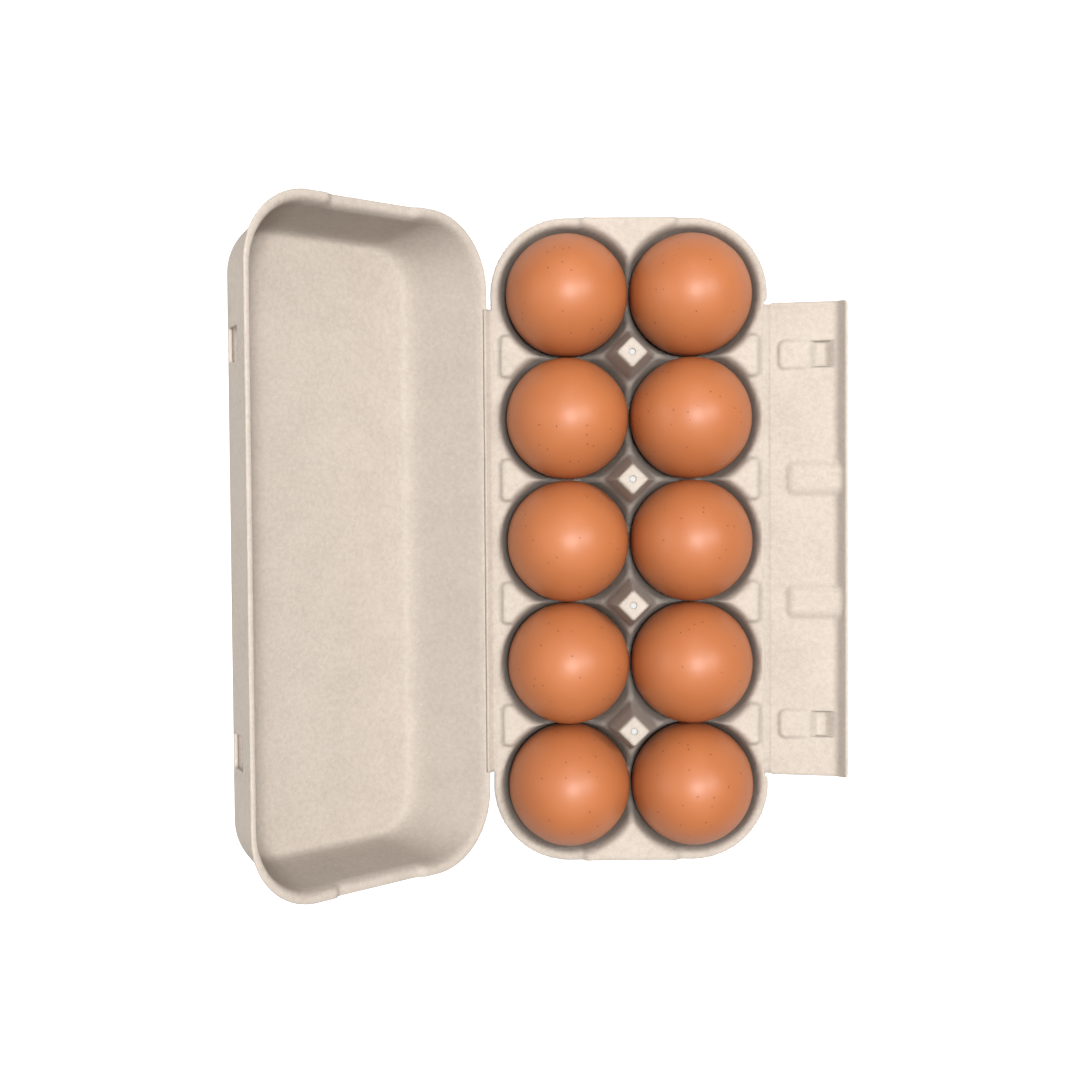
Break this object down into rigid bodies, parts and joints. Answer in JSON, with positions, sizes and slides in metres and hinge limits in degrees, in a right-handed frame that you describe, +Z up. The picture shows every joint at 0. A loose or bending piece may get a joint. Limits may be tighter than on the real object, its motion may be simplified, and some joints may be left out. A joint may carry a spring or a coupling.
{
  "type": "pulp egg carton",
  "caption": "Open moulded pulp egg carton: a tray of egg cells with tall posts, a deep hinged lid with latch holes, a lock flap with buttons, and brown eggs in the cells.",
  "frame": {"origin": "on the ground, at the middle of the open carton's footprint", "axes": "+Z up, +Y along the rows of cells, +X from the lid side to the lock flap side"},
  "size_m": [0.2248, 0.245, 0.115],
  "materials": {
    "pulp": "matte",
    "egg_shell": "satin"
  },
  "bodies": {
    "tray": {"tray": "pulp", "lid_hinge": "pulp", "flap_hinge": "pulp"},
    "lid": {"lid": "pulp"},
    "lock_flap": {"lock_flap": "pulp"},
    "egg_back_1": {"egg_back_1": "egg_shell"},
    "egg_back_2": {"egg_back_2": "egg_shell"},
    "egg_back_3": {"egg_back_3": "egg_shell"},
    "egg_back_4": {"egg_back_4": "egg_shell"},
    "egg_back_5": {"egg_back_5": "egg_shell"},
    "egg_front_1": {"egg_front_1": "egg_shell"},
    "egg_front_2": {"egg_front_2": "egg_shell"},
    "egg_front_3": {"egg_front_3": "egg_shell"},
    "egg_front_4": {"egg_front_4": "egg_shell"},
    "egg_front_5": {"egg_front_5": "egg_shell"}
  },
  "joints": [
    {"name": "lid_fold", "type": "hinge", "parent": "tray", "child": "lid", "pos_m": [-0.02253, 0, 0.0394], "axis": [0, -1, 0], "range_deg": [-135.8, 44.2]},
    {"name": "flap_fold", "type": "hinge", "parent": "tray", "child": "lock_flap", "pos_m": [0.0832, 0, 0.0378], "axis": [0, 1, 0], "range_deg": [-97.2, 80]},
    {"name": "egg_back_1_lift", "type": "slide", "parent": "tray", "child": "egg_back_1", "axis": [0, 0, 1], "range_m": [0, 0.065]},
    {"name": "egg_back_2_lift", "type": "slide", "parent": "tray", "child": "egg_back_2", "axis": [0, 0, 1], "range_m": [0, 0.065]},
    {"name": "egg_back_3_lift", "type": "slide", "parent": "tray", "child": "egg_back_3", "axis": [0, 0, 1], "range_m": [0, 0.065]},
    {"name": "egg_back_4_lift", "type": "slide", "parent": "tray", "child": "egg_back_4", "axis": [0, 0, 1], "range_m": [0, 0.065]},
    {"name": "egg_back_5_lift", "type": "slide", "parent": "tray", "child": "egg_back_5", "axis": [0, 0, 1], "range_m": [0, 0.065]},
    {"name": "egg_front_1_lift", "type": "slide", "parent": "tray", "child": "egg_front_1", "axis": [0, 0, 1], "range_m": [0, 0.065]},
    {"name": "egg_front_2_lift", "type": "slide", "parent": "tray", "child": "egg_front_2", "axis": [0, 0, 1], "range_m": [0, 0.065]},
    {"name": "egg_front_3_lift", "type": "slide", "parent": "tray", "child": "egg_front_3", "axis": [0, 0, 1], "range_m": [0, 0.065]},
    {"name": "egg_front_4_lift", "type": "slide", "parent": "tray", "child": "egg_front_4", "axis": [0, 0, 1], "range_m": [0, 0.065]},
    {"name": "egg_front_5_lift", "type": "slide", "parent": "tray", "child": "egg_front_5", "axis": [0, 0, 1], "range_m": [0, 0.065]}
  ]
}
